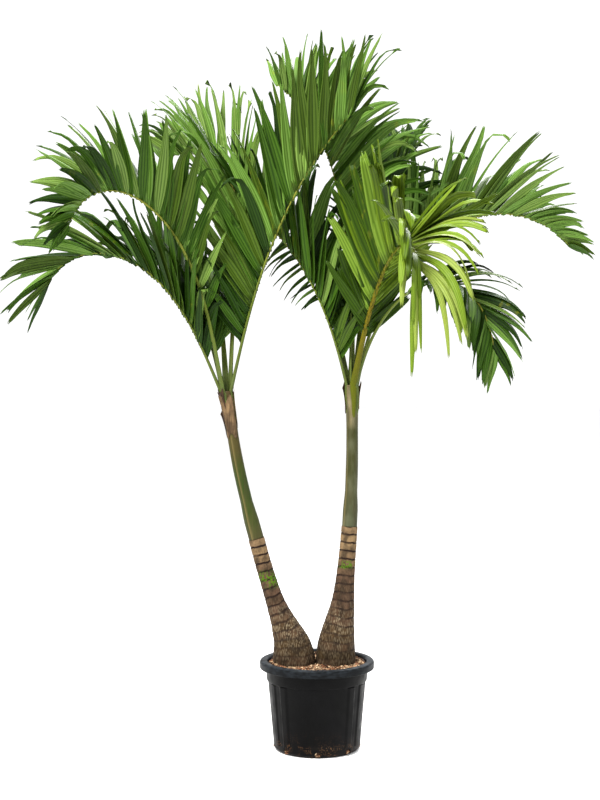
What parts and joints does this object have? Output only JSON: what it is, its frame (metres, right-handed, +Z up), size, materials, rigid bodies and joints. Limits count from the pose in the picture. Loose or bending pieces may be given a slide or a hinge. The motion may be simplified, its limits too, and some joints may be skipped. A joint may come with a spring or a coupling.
{
  "type": "potted christmas palm",
  "caption": "Christmas palm with a pair of ringed stems, green crownshafts and arching feather fronds, standing in potting mix in a black ribbed nursery pot.",
  "frame": {"origin": "centre of the pot's flat underside", "axes": "+Z up; the plant's front looks along -Y; the left stem leans towards -X"},
  "size_m": [2.7074, 2.0518, 3.1079],
  "materials": {
    "pot": "black, satin, with a dusty grey sheen on the rim",
    "potting_mix": "loose bark chips and fibre",
    "trunk": "fibrous bark with dark leaf-scar rings",
    "crownshaft": "smooth, waxy green, dried brown at the sheaths' edges",
    "frond": "semi-gloss mid green",
    "young_frond": "semi-gloss yellow-green"
  },
  "bodies": {
    "root": {"pot": "pot", "potting_mix": "potting_mix", "trunk_left": "trunk", "crownshaft_left": "crownshaft", "trunk_right": "trunk", "crownshaft_right": "crownshaft", "frond_left_arch_stalk": "frond", "frond_left_arch_tip": "frond", "frond_left_front_stalk": "frond", "frond_left_front_tip": "frond", "frond_left_inner": "frond", "frond_left_back_stalk": "frond", "frond_left_back_tip": "frond", "frond_left_side_stalk": "frond", "frond_left_side_tip": "frond", "frond_left_rear_stalk": "frond", "frond_left_rear_tip": "frond", "frond_right_inner": "frond", "frond_right_upright": "frond", "frond_right_front_stalk": "young_frond", "frond_right_front_tip": "young_frond", "frond_right_arch_stalk": "frond", "frond_right_arch_tip": "frond", "frond_right_droop_stalk": "frond", "frond_right_droop_tip": "frond", "frond_right_back": "frond", "frond_right_hanging": "frond", "frond_right_rear_stalk": "frond", "frond_right_rear_tip": "frond"}
  },
  "joints": []
}
